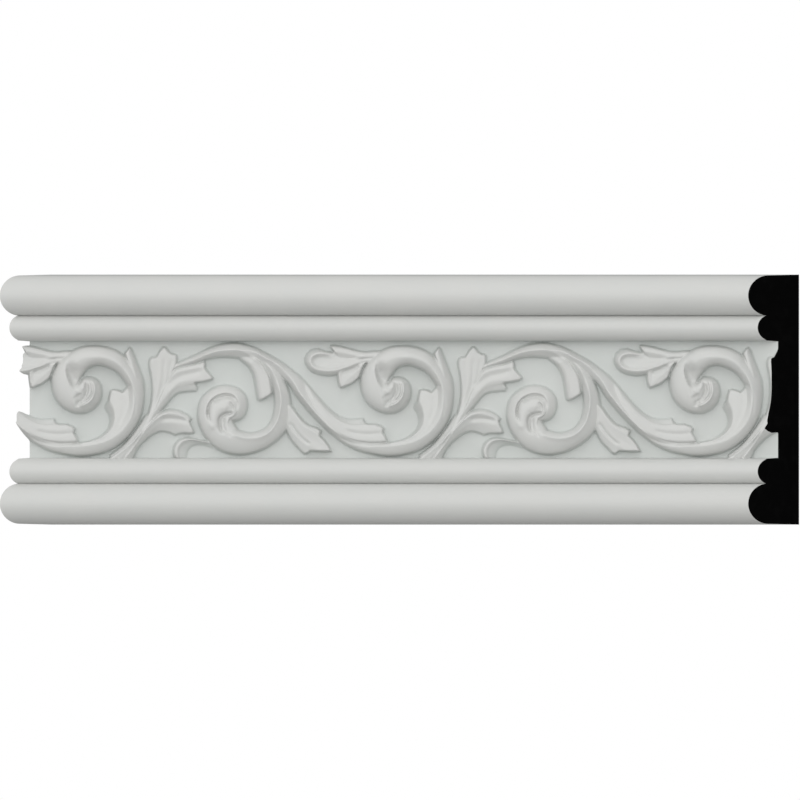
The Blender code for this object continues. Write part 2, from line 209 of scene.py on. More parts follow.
# Leaves: a left and a right edge from root to tip, the points of the toothed end between them, the heights
# along it as points of (share from the root, height), and the section as points of (share from the left edge,
# share of the height).
LEAVES = {
    "long_leaf": {
        "left": [(160.6, 13.6), (163.3, 11.0), (169.3, 4.0), (175.3, -2.8), (181.0, -7.6), (186.3, -9.4),
                 (193.6, -9.0)],
        "right": [(163.0, 1.0), (166.0, -2.9), (171.0, -8.2), (177.3, -14.0), (183.3, -18.4),
                  (189.3, -20.8), (197.0, -21.8), (206.0, -21.6)],
        "teeth": [(194.5, -11.2), (195.6, -11.9), (199.6, -11.9), (202.8, -13.1), (204.1, -14.3),
                  (203.6, -16.5), (205.0, -18.4)],
        "along": [(0.0, 2.4), (0.22, 6.2), (0.4, 6.6), (1.0, 5.4)],
        "section": [(0.0, 0.35), (0.12, 0.62), (0.3, 0.86), (0.55, 0.98), (0.92, 1.0), (1.0, 0.85)],
    },
    "inner_leaf": {
        "left": [(53.5, -21.0), (58.0, -20.1), (61.0, -19.0), (64.0, -17.0), (66.4, -14.5), (67.5, -11.0),
                 (66.9, -7.4), (65.1, -4.0), (65.4, -2.3)],
        "right": [(54.0, -23.5), (63.0, -21.8), (70.0, -19.4), (76.0, -14.4), (79.2, -8.0), (80.0, 0.0),
                  (79.0, 5.0), (76.9, 7.2)],
        "teeth": [(67.0, -0.6), (67.5, 2.0), (68.2, 4.8), (70.0, 5.3), (72.2, 4.8), (74.1, 3.9),
                  (75.4, 5.3)],
        "along": [(0.0, 6.2), (0.35, 7.2), (0.6, 6.8), (1.0, 5.2)],
        "section": [(0.0, 0.05), (0.2, 0.82), (0.27, 0.98), (0.5, 0.96), (0.75, 1.0), (0.88, 0.9),
                    (1.0, 0.6)],
    },
    "sheath": {
        "left": [(80.5, 1.0), (79.4, 5.0), (78.4, 9.0), (77.5, 14.0), (76.2, 18.6), (75.0, 22.6),
                 (76.0, 24.2)],
        "right": [(85.6, 1.0), (85.4, 6.0), (84.8, 10.0), (83.2, 14.6), (81.4, 19.2), (80.1, 22.6),
                  (79.2, 24.6)],
        "teeth": [(77.0, 25.4), (78.0, 26.1)],
        "along": [(0.0, 1.6), (0.3, 6.2), (0.45, 6.8), (1.0, 5.2)],
        "section": [(0.0, 0.5), (0.22, 1.0), (0.45, 0.95), (1.0, 0.3)],
    },
    "fan_top": {
        "left": [(66.6, -29.6), (70.0, -27.0), (76.0, -22.5), (81.2, -17.0), (84.8, -11.0), (87.2, -5.0),
                 (88.3, 1.0), (88.5, 7.0), (88.0, 12.0), (87.1, 16.5), (87.2, 19.5), (88.0, 21.0)],
        "right": [(72.0, -29.6), (79.0, -23.6), (86.0, -15.0), (91.0, -6.0), (95.0, 3.0), (98.0, 10.4),
                  (100.2, 15.4), (101.3, 18.6), (101.4, 21.8)],
        "teeth": [(89.0, 21.4), (90.7, 21.2), (92.6, 24.4), (94.4, 26.3), (95.7, 26.2), (97.4, 23.9),
                  (99.0, 22.8), (100.6, 22.7)],
        "along": [(0.0, 5.0), (0.3, 6.4), (0.45, 5.2), (0.62, 4.2), (1.0, 3.8)],
        "section": [(0.0, 0.7), (0.16, 1.0), (0.5, 1.0), (1.0, 0.86)],
    },
    "fan_side": {
        "left": [(84.0, -14.0), (90.0, -4.0), (94.0, 5.0), (97.4, 11.5), (100.3, 15.2), (104.0, 16.5),
                 (110.0, 17.8), (114.8, 19.3)],
        "right": [(86.0, -15.6), (91.0, -9.0), (94.8, -4.4), (97.0, -1.6), (99.4, 1.2), (102.0, 3.0),
                  (106.0, 3.7), (111.0, 4.1)],
        "teeth": [(115.5, 17.6), (115.4, 15.5), (117.2, 13.3), (119.4, 10.8), (118.2, 9.5), (114.6, 8.6),
                  (110.3, 8.1), (111.6, 5.9)],
        "along": [(0.0, 6.0), (0.3, 5.4), (0.5, 4.8), (1.0, 4.6)],
        "section": [(0.0, 0.8), (0.12, 1.0), (0.45, 0.92), (0.8, 0.74), (1.0, 0.4)],
    },
    "fan_low": {
        "left": [(74.0, -29.6), (80.0, -21.6), (85.0, -14.2), (89.0, -9.8), (92.5, -6.4), (96.0, -4.9),
                 (99.0, -4.6), (102.0, -5.1), (105.0, -6.4), (107.3, -7.9), (108.6, -9.6)],
        "right": [(79.6, -29.6), (81.6, -25.0), (84.0, -22.0), (88.0, -18.5), (91.0, -16.7), (94.0, -16.0),
                  (97.0, -16.5), (100.4, -17.8)],
        "teeth": [(107.6, -10.9), (108.4, -12.6), (109.3, -14.5), (110.0, -16.5), (108.0, -17.1),
                  (104.5, -17.0), (102.0, -17.2)],
        "along": [(0.0, 5.0), (0.4, 6.6), (0.6, 6.0), (1.0, 4.8)],
        "section": [(0.0, 0.62), (0.15, 1.0), (0.2, 1.0), (1.0, 0.44)],
    },
    "tendril": {
        "left": [(119.0, -20.6), (116.0, -20.2), (112.0, -19.6), (108.0, -18.8), (105.0, -18.8),
                 (102.0, -19.9), (100.0, -22.0), (99.0, -25.0), (99.3, -27.4), (100.2, -29.6)],
        "right": [(119.0, -24.4), (116.0, -23.2), (112.5, -22.6), (110.0, -23.0), (108.0, -24.0),
                  (106.8, -25.5), (106.2, -27.2), (106.0, -29.6)],
        "teeth": [(103.0, -29.6)],
        "along": [(0.0, 1.8), (0.2, 4.4), (1.0, 4.4)],
        "section": [(0.0, 0.5), (0.16, 0.9), (0.26, 1.0), (0.36, 0.88), (0.46, 0.64), (1.0, 0.14)],
    },
    "tongue": {
        "left": [(136.0, 24.0), (141.0, 21.0), (144.6, 17.0), (147.0, 12.5), (148.4, 8.0), (148.9, 3.2)],
        "right": [(131.0, 20.5), (134.0, 18.3), (136.2, 16.3), (137.8, 13.8), (138.9, 10.5), (139.7, 6.0),
                  (140.4, 1.5), (140.8, -0.2)],
        "teeth": [(147.2, 1.8), (144.6, 0.2), (142.2, -0.7)],
        "along": [(0.0, 3.0), (0.25, 5.2), (1.0, 4.8)],
        "section": [(0.0, 0.4), (0.12, 0.9), (0.2, 1.0), (0.66, 0.95), (0.8, 0.8), (1.0, 0.2)],
    },
    "palm_top": {
        "left": [(54.0, 23.8), (47.0, 24.4), (42.0, 24.0), (38.0, 24.4), (32.9, 25.7), (28.0, 26.8),
                 (24.6, 27.1)],
        "right": [(54.0, 19.0), (46.0, 18.6), (38.0, 18.6), (32.0, 19.4), (28.0, 20.6), (26.9, 21.5)],
        "teeth": [(23.8, 26.5), (25.4, 24.0)],
        "along": [(0.0, 5.4), (1.0, 4.8)],
        "section": [(0.0, 0.74), (0.3, 0.98), (0.5, 1.0), (1.0, 0.58)],
    },
    "palm_curl": {
        "left": [(53.0, 21.0), (38.0, 21.8), (31.0, 22.6), (25.5, 23.6), (22.2, 23.9), (18.0, 25.5)],
        "right": [(52.0, 19.0), (42.0, 17.6), (36.0, 14.8), (31.0, 12.9), (26.7, 12.2), (22.6, 11.7),
                  (18.4, 12.3)],
        "teeth": [(14.5, 24.9), (12.4, 23.1), (11.2, 20.6), (11.4, 18.2), (12.8, 15.6), (15.0, 13.5)],
        "along": [(0.0, 5.6), (0.5, 4.2), (1.0, 2.6)],
        "section": [(0.0, 0.8), (0.5, 1.0), (1.0, 0.8)],
    },
    "palm_low": {
        "left": [(47.0, 20.0), (41.0, 18.8), (37.1, 17.5), (33.7, 16.1), (30.4, 15.2), (28.0, 14.0),
                 (27.4, 12.0), (27.7, 8.6)],
        "right": [(47.0, 19.6), (42.6, 18.6), (41.0, 16.9), (39.4, 13.2), (38.2, 10.7), (36.6, 9.2),
                  (34.6, 7.7), (31.2, 6.2)],
        "teeth": [(28.3, 6.4), (29.4, 5.6)],
        "along": [(0.0, 5.6), (0.5, 4.7), (1.0, 4.2)],
        "section": [(0.0, 0.86), (0.3, 0.9), (0.6, 1.0), (1.0, 0.86)],
    },
    "drop_leaf": {
        "left": [(157.0, -1.5), (159.3, -4.2), (161.3, -7.0), (163.3, -9.5), (165.3, -11.5),
                 (167.3, -12.7), (169.3, -13.3), (171.3, -14.2), (172.9, -15.3)],
        "right": [(153.5, -11.0), (155.3, -15.6), (157.7, -20.2), (160.0, -23.0), (161.8, -24.8),
                  (163.2, -26.3)],
        "teeth": [(172.2, -18.0), (174.6, -20.2), (176.4, -22.6), (178.2, -25.9), (173.3, -26.0),
                  (167.3, -25.7), (165.6, -27.1), (164.5, -27.1)],
        "along": [(0.0, 4.6), (1.0, 5.6)],
        "section": [(0.0, 0.7), (0.14, 1.0), (0.45, 0.86), (0.7, 0.84), (1.0, 0.45)],
    },
}

# Domes: a middle, the points of the outline round it, the height and the section, as points of (share from
# the middle to the outline, share of the height).
DOMES = {
    "volute_floor": {
        "middle": (124.5, -5.0),
        "outline": [(116.9, -9.8), (116.4, -6.0), (117.3, -2.0), (119.7, 0.9), (122.7, 2.6), (125.9, 3.3),
                    (129.2, 2.3), (131.3, -0.4), (132.0, -3.6), (131.4, -6.6), (129.8, -8.7),
                    (127.6, -10.0), (126.6, -13.0), (127.6, -17.5), (124.0, -19.5), (119.2, -15.0)],
        "height": 6.3,
        "section": [(0.0, 1.0), (1.0, 1.0)],
    },
    "eye": {
        "middle": (53.5, 3.0),
        "outline": [(57.1, 11.5), (60.0, 11.0), (62.1, 9.7), (63.5, 7.6), (64.2, 4.8), (64.2, 2.6),
                    (63.5, -0.2), (62.1, -2.7), (60.0, -4.8), (57.1, -6.4), (54.3, -7.0), (50.5, -5.0),
                    (46.5, -1.0), (44.0, 3.0), (45.5, 7.0), (49.0, 9.5), (52.0, 10.5), (54.6, 11.3)],
        "height": 7.8,
        "section": [(0.0, 1.0), (0.6, 1.0), (0.8, 0.72), (1.0, 0.3)],
    },
}

# Lines cut into the relief, or raised from it where the depth is below 0: depth, width and the line's way
LINES = {
    "eye_groove": (1.9, 1.9, [(55.6, 9.6), (56.5, 7.4), (56.8, 4.8), (56.0, 2.3), (54.7, 0.2),
                              (52.8, -1.2), (50.2, -2.2)]),
    "eye_rim_groove": (1.5, 1.2, [(58.0, 9.6), (59.0, 6.9), (59.2, 5.0), (58.9, 2.9), (57.5, 0.6),
                                  (55.5, -1.2), (52.8, -2.6), (50.0, -3.2)]),
    "eye_rim": (-0.7, 1.3, [(57.8, 9.8), (59.8, 8.4), (60.5, 5.8), (59.9, 2.3), (58.2, -0.3), (55.2, -2.4),
                            (51.7, -3.5)]),
    "eye_cleft": (2.0, 1.5, [(52.2, 7.0), (52.7, 8.4), (53.6, 9.9), (54.7, 11.4), (55.6, 12.8)]),
    "eye_ball": (-0.9, 4.6, [(50.0, 5.0), (51.8, 5.8), (53.6, 5.8), (55.2, 5.0)]),
    "scroll_crest": (-0.3, 2.6, [(228.8, 15.4), (226.3, 17.8), (223.3, 20.0), (219.3, 21.6),
                                 (214.3, 22.3)]),
    "tongue_ridge": (-0.5, 1.5, [(128.0, 24.8), (133.0, 24.0), (137.0, 22.1), (140.2, 19.8), (143.0, 17.4),
                                 (145.0, 14.6), (146.4, 11.8), (147.1, 8.6), (147.2, 5.4)]),
    "vine_ridge": (-0.4, 1.6, [(138.6, 25.0), (142.0, 22.9), (145.4, 20.7), (148.4, 19.4), (152.0, 17.2),
                               (155.0, 14.6)]),
    "volute_ridge": (-0.5, 1.5, [(146.8, 18.4), (148.6, 13.6), (150.2, 9.0), (151.8, 5.0), (152.8, 0.0),
                                 (152.5, -4.0), (151.7, -8.0), (150.0, -12.0), (147.5, -15.5),
                                 (144.5, -17.9), (141.0, -19.2), (137.0, -19.4), (133.5, -18.9),
                                 (130.5, -17.6), (128.0, -15.8), (126.5, -13.5), (125.8, -11.5)]),
    "volute_crevice": (2.0, 1.5, [(129.8, -6.0), (128.3, -6.6), (126.4, -6.9), (124.6, -7.3),
                                  (123.1, -8.3), (122.3, -10.0), (122.3, -12.0), (122.9, -14.6),
                                  (124.2, -17.2)]),
    "core_crest": (-1.0, 5.0, [(119.6, -15.5), (119.2, -11.5), (119.8, -8.0), (121.3, -5.2), (123.4, -3.9),
                               (125.8, -3.6), (127.6, -4.6)]),
    "volute_flute": (0.8, 1.0, [(124.9, -8.8), (124.3, -11.0), (124.3, -13.2), (125.0, -15.2),
                                (126.4, -17.2), (128.4, -18.8)]),
    "volute_groove": (0.8, 1.7, [(117.6, -12.2), (117.2, -9.0), (117.0, -6.3), (117.7, -3.2),
                                 (119.5, -0.8), (122.2, 0.9), (125.7, 1.6), (128.9, 1.0), (130.7, -1.3),
                                 (130.9, -4.2), (130.0, -6.4)]),
    "groove_top": (1.3, 2.6, [(118.6, -1.8), (120.4, 0.0), (122.8, 1.0), (125.7, 1.6), (128.6, 1.0),
                              (130.2, -0.6)]),
    "core_edge": (0.9, 0.9, [(127.0, -1.2), (128.4, -2.6), (129.0, -4.2), (128.8, -5.8)]),
    "thin_ridge": (-0.4, 0.9, [(126.5, 0.2), (128.7, -1.5), (129.8, -4.0), (129.4, -6.4), (127.9, -8.0)]),
    "long_leaf_crease": (0.5, 1.8, [(184.0, -15.2), (190.0, -16.6), (196.0, -17.1), (203.6, -16.5)]),
    "long_leaf_side": (0.8, 1.5, [(181.4, -17.9), (183.6, -19.4), (186.0, -20.5), (189.6, -21.6),
                                  (194.0, -22.3), (200.0, -22.3)]),
    "inner_crease": (0.35, 2.0, [(72.6, -12.0), (74.6, -7.0), (75.2, -1.0), (74.2, 3.8)]),
    "inner_side": (0.4, 1.6, [(79.6, -9.0), (80.4, -4.0), (80.5, 1.0), (79.6, 5.0)]),
    "sheath_cleft": (1.1, 1.2, [(75.8, 8.0), (77.2, 7.2), (78.6, 6.6)]),
    "fan_top_valley": (0.5, 2.0, [(86.5, -8.0), (89.3, 1.0), (90.2, 8.0), (89.9, 15.0), (90.5, 20.6)]),
    "fan_top_second": (0.45, 2.0, [(89.5, -5.0), (92.4, 2.0), (94.4, 10.0), (94.7, 16.0), (95.0, 22.0)]),
    "fan_top_third": (0.35, 1.8, [(93.6, 0.0), (96.4, 8.0), (97.7, 15.0), (98.5, 21.0)]),
    "fan_side_valley": (0.9, 3.4, [(95.0, 4.5), (99.0, 9.2), (104.0, 12.0), (109.0, 13.1), (115.2, 14.8)]),
    "fan_low_ridge": (-0.5, 1.6, [(77.6, -24.6), (82.0, -17.9), (86.0, -13.6), (90.0, -10.4), (93.5, -7.8),
                                  (97.0, -6.5), (101.0, -6.3), (104.0, -7.4), (106.4, -9.0)]),
    "fan_low_valley": (1.1, 2.4, [(92.6, -10.2), (97.0, -9.4), (101.0, -9.6), (104.5, -10.2),
                                  (107.6, -10.9)]),
    "palm_rim": (-2.3, 2.7, [(26.4, 20.8), (24.6, 21.9), (22.4, 22.7), (20.0, 23.0), (17.6, 22.9),
                             (15.6, 22.1), (14.2, 20.7), (13.9, 18.8), (14.8, 16.8), (17.0, 15.2),
                             (20.5, 14.4), (23.8, 14.3), (27.1, 14.7), (30.4, 15.6), (33.7, 16.5),
                             (37.1, 17.9), (40.4, 19.4)]),
    "palm_second": (-0.6, 1.8, [(17.6, 16.3), (21.3, 16.7), (27.1, 17.1), (32.9, 18.7), (38.3, 20.7),
                                (43.0, 22.0)]),
    "palm_tip_rim": (-0.8, 1.4, [(24.2, 26.8), (24.8, 25.4), (25.7, 23.9), (26.9, 22.2)]),
    "palm_low_rim": (-0.6, 1.3, [(28.4, 13.6), (28.7, 11.6), (28.8, 9.6), (28.7, 7.2)]),
    "palm_low_valley": (1.1, 2.2, [(29.6, 13.4), (32.0, 14.4), (35.0, 15.6), (38.6, 17.2)]),
    "palm_side": (0.9, 1.4, [(42.4, 18.6), (41.0, 16.2), (39.8, 13.6), (38.8, 11.4)]),
    "drop_crease": (1.0, 1.7, [(156.6, -10.6), (158.4, -13.4), (160.4, -16.2), (162.8, -19.0),
                               (165.2, -21.0), (168.0, -22.6)]),
}

# Scoops: hollows that drop off sharply at the right-hand side of a line and run out again: depth, reach and
# the line's way
SCOOPS = {
    "bulb_hollow": (6.4, 5.4, [(54.0, 2.8), (50.6, 4.6), (48.6, 7.0), (47.3, 9.6), (46.4, 12.4),
                               (46.0, 15.0), (46.3, 18.0), (47.4, 21.5)]),
    "eye_hollow": (2.6, 4.4, [(48.4, 0.0), (50.8, 2.4), (52.4, 3.2), (54.2, 3.4), (56.0, 2.8)]),
    "core_hollow": (2.6, 3.0, [(124.2, -18.6), (122.7, -15.4), (121.9, -12.6), (122.0, -10.2),
                               (122.8, -8.2), (124.4, -7.1), (126.3, -6.7), (128.3, -6.3), (130.0, -5.6)]),
}

# Tints of the finishes, and the studio's light
# The field's tint is a greener grey than the relief's and also darker: the darker part is painted shade on
# the low field.
FIELD_TINT_WITH_PAINTED_SHADE = (0.564, 0.591, 0.571, 1)
FIELD_TINT_WITH_PAINTED_SHADE_WORN = (0.579, 0.600, 0.581, 1)
RELIEF_TINT = (0.598, 0.604, 0.588, 1)
RELIEF_TINT_WORN = (0.612, 0.614, 0.596, 1)
BEAD_TINT = (0.600, 0.613, 0.594, 1)
BLACK_TINT = (0.0008, 0.0008, 0.0008, 1)
BLACK_TINT_WORN = (0.003, 0.003, 0.003, 1)
FLOOR_TINT = (0.52, 0.52, 0.52, 1)
FLOOR_TINT_WORN = (0.56, 0.56, 0.55, 1)
FRONT_LIGHT = 1.93
UPPER_LIGHT = 0.62
LEFT_LIGHT = 0.46

# The photograph's frame: its side in pixels, the size of a pixel and the pixel of the run's middle; and the
# places of the camera and of the floor, in metres
PHOTO_SIDE = 800
PHOTO_SCALE = 0.496 * MM
RUN_MIDDLE_PIXEL = (424.85, 399.6)
CAMERA_DISTANCE = 1
FLOOR_SIDE = 6
FLOOR_LEVEL = -0.5


def smooth_curve(stations, count):
    """Rows at even distances along a centripetal Catmull-Rom curve through the stations."""
    rows = np.array(stations, float)
    rows = np.vstack([2 * rows[0] - rows[1], rows, 2 * rows[-1] - rows[-2]])
    gaps = np.sqrt(np.maximum(np.linalg.norm(np.diff(rows[:, :2], axis=0), axis=1), 1e-6))
    knots = np.concatenate([[0], np.cumsum(gaps)])
    dense = []
    for i in range(1, len(rows) - 2):
        t = np.linspace(knots[i], knots[i + 1], CURVE_STEPS, endpoint=i == len(rows) - 3)[:, None]
        level = [between(t, knots[i + k - 1], knots[i + k], rows[i + k - 1], rows[i + k]) for k in range(3)]
        level = [between(t, knots[i + k - 1], knots[i + k + 1], level[k], level[k + 1]) for k in range(2)]
        dense.append(between(t, knots[i], knots[i + 1], level[0], level[1]))
    return at_even_lengths(np.vstack(dense), count)


def between(t, start, end, first, second):
    """The values at t on the line from first, at start, to second, at end."""
    share = (t - start) / (end - start)
    return first * (1 - share) + second * share


def lengths_along(points):
    """The length from the start of a polyline to each of its points."""
    return np.concatenate([[0], np.cumsum(np.linalg.norm(np.diff(points[:, :2], axis=0), axis=1))])


def at_even_lengths(points, count):
    """count rows at even distances along a polyline."""
    reach = lengths_along(points)
    wanted = np.linspace(0, reach[-1], count)
    return np.stack([np.interp(wanted, reach, points[:, k]) for k in range(points.shape[1])], axis=1)


def rounded_over(tall, inside):
    """Heights that drop a little towards the edge, by their distance inside it."""
    near = np.clip(1 - inside / ROUND_OVER, 0, 1)
    return tall * (1 - ROUND_OVER_DROP * near**2)


def stem_surface(stations):
    """Rows of (along, up, height) over a stem, each from its left edge to its right edge."""
    length = lengths_along(np.array(stations, float))[-1]
    rows = smooth_curve(stations, max(12, round(length / STATION_GAP)))
    way = np.gradient(rows[:, :2], axis=0)
    way /= np.linalg.norm(way, axis=1)[:, None]
    left = np.stack([-way[:, 1], way[:, 0]], axis=1)
    place = np.cos(np.linspace(0, math.pi, ACROSS_STEM + 1))[None, :]
    width, height, crest, roof = (rows[:, k, None] for k in range(2, 6))
    crest = np.clip(crest, -CREST_REACH, CREST_REACH)
    away = np.where(place > crest, (place - crest) / (1 - crest), (crest - place) / (1 + crest))
    rounded = np.clip(1 - away**FULLNESS, 0, 1) ** (1 / FULLNESS)
    ridged = STEM_FOOT + (1 - STEM_FOOT) * (1 - away)
    tall = height * (rounded * (1 - roof) + ridged * roof)
    tall = rounded_over(tall, (1 - np.abs(place)) * width / 2)
    flat = rows[:, None, :2] + left[:, None, :] * (place * width / 2)[:, :, None]
    return np.concatenate([flat, tall[:, :, None]], axis=2)


def leaf_surface(leaf):
    """Rows of (along, up, height) over a leaf, each from left to right, the last along the toothed end."""
    left = smooth_curve(leaf["left"], LEAF_ROWS + 1)
    right = smooth_curve(leaf["right"], LEAF_ROWS + 1)
    corners = np.array([tuple(left[-1]), *leaf["teeth"], tuple(right[-1])])
    reach = lengths_along(corners) / lengths_along(corners)[-1]
    share = np.union1d(np.linspace(0, 1, ACROSS_LEAF + 1), reach)
    end = np.stack([np.interp(share, reach, corners[:, k]) for k in range(2)], axis=1)
    on = np.linspace(0, 1, LEAF_ROWS + 1)[:, None]
    straight = left[:, None, :] * (1 - share)[None, :, None] + right[:, None, :] * share[None, :, None]
    flat = straight + (end - straight[-1])[None, :, :] * (on**3)[:, :, None]
    across = np.interp(share, *zip(*leaf["section"]))[None, :]
    tall = np.interp(on, *zip(*leaf["along"])) * across
    rim = np.vstack([left, right, at_even_lengths(corners, 2 * LEAF_ROWS)])
    inside = np.sqrt(((flat[:, :, None, :] - rim[None, None, :, :]) ** 2).sum(3)).min(2)
    return np.concatenate([flat, rounded_over(tall, inside)[:, :, None]], axis=2)


def dome_surface(dome):
    """Rows of (along, up, height) over a dome, each from its middle to its outline."""
    outline = smooth_curve(dome["outline"] + dome["outline"][:1], 2 * LEAF_ROWS + 1)
    share = np.linspace(0, 1, ACROSS_LEAF + 1)[None, :, None]
    flat = np.array(dome["middle"]) * (1 - share) + outline[:, None, :] * share
    tall = dome["height"] * np.interp(share[:, :, 0], *zip(*dome["section"])) * np.ones((len(outline), 1))
    inside = np.linalg.norm(flat - outline[:, None, :], axis=2)
    return np.concatenate([flat, rounded_over(tall, inside)[:, :, None]], axis=2)


def faded(place, reach):
    """1 along a line and 0 at its two ends, from the place along it, 0 to 1."""
    ease = np.clip(np.minimum(place, 1 - place) / reach, 0, 1)
    return ease * ease * (3 - 2 * ease)


def nearest_on(line, spots):
    """For each spot: its distance from a line, its place along it and whether it lies to the right of it."""
    way = smooth_curve(line, LINE_POINTS)
    step = np.gradient(way, axis=0)
    away = spots[:, None, :] - way[None, :, :]
    distance = np.sqrt((away**2).sum(2))
    nearest = distance.argmin(1)
    each = np.arange(len(spots))
    turn = step[nearest, 0] * away[each, nearest, 1] - step[nearest, 1] * away[each, nearest, 0]
    return distance[each, nearest], nearest / (len(way) - 1), turn < 0


def line_bite(line, width, spots):
    """The share of a line's depth that it takes out at each spot."""
    distance, place, _ = nearest_on(line, spots)
    return np.exp(-((2 * distance / width) ** 2)) * faded(place, LINE_FADE)


def scoop_bite(line, reach, spots):
    """The share of a scoop's depth that it takes out at each spot, with nothing to the left of its line."""
    distance, place, on_right = nearest_on(line, spots)
    bite = on_right * (1 - np.exp(-distance / SCOOP_WALL)) * np.exp(-((distance / reach) ** 2))
    return bite * faded(place, SCOOP_FADE)


def cut_into(surface):
    """A surface of the relief with the lines and scoops taken out of it, on whichever repeat they fall."""
    spots = surface[:, :, :2].reshape(-1, 2)
    tall = surface[:, :, 2].reshape(-1).copy()
    taken = np.zeros_like(tall)
    low, high = spots.min(0), spots.max(0)
    for cuts, bite in ((LINES, line_bite), (SCOOPS, scoop_bite)):
        for depth, width, line in cuts.values():
            for repeat in (-1, 0, 1):
                drawn = np.array(line) + (REPEAT * repeat, 0)
                if (drawn.min(0) - width > high).any() or (drawn.max(0) + width < low).any():
                    continue
                taken += depth * bite(drawn, width, spots)
    tall = np.maximum(tall - taken, np.minimum(tall, LEAST_HEIGHT))
    return np.concatenate([surface[:, :, :2], tall.reshape(surface.shape[:2])[:, :, None]], axis=2)


def laid_sheet(name, surface):
    """A grid laid out on a surface of the relief and closed down to a plane inside the board."""
    surface = cut_into(surface)
    rows, columns, _ = surface.shape
    bpy.ops.object.select_all(action="DESELECT")
    bpy.ops.mesh.primitive_grid_add(x_subdivisions=columns - 1, y_subdivisions=rows - 1, size=1)
    sheet = bpy.context.object
    sheet.name = name
    places = np.empty((rows, columns, 3))
    places[:, :, 0] = surface[:, :, 0] * MM
    places[:, :, 1] = -FIELD - surface[:, :, 2] * MM
    places[:, :, 2] = surface[:, :, 1] * MM
    sheet.data.vertices.foreach_set("co", places.reshape(-1))
    bpy.ops.object.mode_set(mode="EDIT")
    bpy.ops.mesh.select_all(action="SELECT")
    bpy.ops.mesh.extrude_region_move(TRANSFORM_OT_translate={"value": (0, INNER_NOSE, 0)})
    bpy.ops.transform.resize(value=(1, 0, 1), center_override=(0, -FIELD + EMBED * MM, 0))
    bpy.ops.mesh.select_all(action="SELECT")
    bpy.ops.mesh.normals_make_consistent(inside=False)
    bpy.ops.object.mode_set(mode="OBJECT")
    return sheet


def copied_along_run(piece):
    """Copies of one stem or leaf on every repeat where it stands on the run's field."""
    along = [v.co.x for v in piece.data.vertices]
    copies = []
    for repeat in REPEATS:
        shift = (FIRST_REPEAT_X + REPEAT * repeat) * MM
        if min(along) + shift > RUN / 2 - FIELD or max(along) + shift < -RUN / 2 - FIELD:
            continue
        copy = bpy.data.objects.new(f"{piece.name}.{repeat + 2}", piece.data.copy())
        copy.data.transform(Matrix.Translation((shift, 0, 0)))
        bpy.context.scene.collection.objects.link(copy)
        copies.append(copy)
    bpy.data.objects.remove(piece)
    return copies


def only(*pieces):
    """Selects these pieces alone, the first of them active."""
    bpy.ops.object.select_all(action="DESELECT")
    for piece in pieces:
        piece.select_set(True)
    bpy.context.view_layer.objects.active = pieces[0]


def applied(piece, kind, **settings):
    """Adds a modifier, sets it and applies it."""
    only(piece)
    modifier = piece.modifiers.new(kind.title(), kind)
    for key, value in settings.items():
        setattr(modifier, key, value)
    bpy.ops.object.modifier_apply(modifier=modifier.name)


def field_slab():
    """The flat field that the relief grows out of. Its long edges lie inside the beads' steps."""
    bpy.ops.mesh.primitive_cube_add(size=1, location=(0, -FIELD + SLAB / 2, 0))
    slab = bpy.context.object
    slab.scale = (RUN + 4 * OUTER_NOSE, SLAB, 2 * (FIELD_HALF_HEIGHT + SLAB_INTO_STEP))
    bpy.ops.object.transform_apply(location=True, rotation=False, scale=True)
    return slab


def without_bubbles(skin):
    """Deletes what isn't joined to the field: tiny bubbles that the melting shuts inside the stems."""
    only(skin)
    bpy.ops.object.mode_set(mode="EDIT")
    bpy.ops.mesh.select_all(action="DESELECT")
    bpy.ops.object.mode_set(mode="OBJECT")
    field_end = min(skin.data.vertices, key=lambda corner: corner.co.x)
    field_end.select = True
    bpy.ops.object.mode_set(mode="EDIT")
    bpy.ops.mesh.select_linked()
    bpy.ops.mesh.select_all(action="INVERT")
    bpy.ops.mesh.delete(type="VERT")
    bpy.ops.object.mode_set(mode="OBJECT")


def relief():
    """The field with every stem and leaf on it, melted into one skin."""
    parts = [field_slab()]
    for name, stations in STEMS.items():
        parts += copied_along_run(laid_sheet(name, stem_surface(stations)))
    for name, leaf in LEAVES.items():
        parts += copied_along_run(laid_sheet(name, leaf_surface(leaf)))
    for name, dome in DOMES.items():
        parts += copied_along_run(laid_sheet(name, dome_surface(dome)))
    only(*parts)
    bpy.ops.object.join()
    skin = bpy.context.object
    skin.name = "relief"
    applied(skin, "REMESH", mode="VOXEL", voxel_size=VOXEL, adaptivity=0)
    applied(skin, "SMOOTH", factor=0.5, iterations=SMOOTHING_PASSES)
    skin.data.calc_loop_triangles()
    applied(skin, "DECIMATE", ratio=min(1, RELIEF_TRIANGLES / len(skin.data.loop_triangles)))
    without_bubbles(skin)
    return skin


def bead(nose, middle, radius, start, end):
    """Points of (depth, up) round a bead, by angles in degrees from straight out of the wall."""
    turns = np.radians(np.linspace(start, end, round((end - start) / BEAD_TURN_STEP) + 1))
    return [(nose - radius + radius * math.cos(t), middle + radius * math.sin(t)) for t in turns]


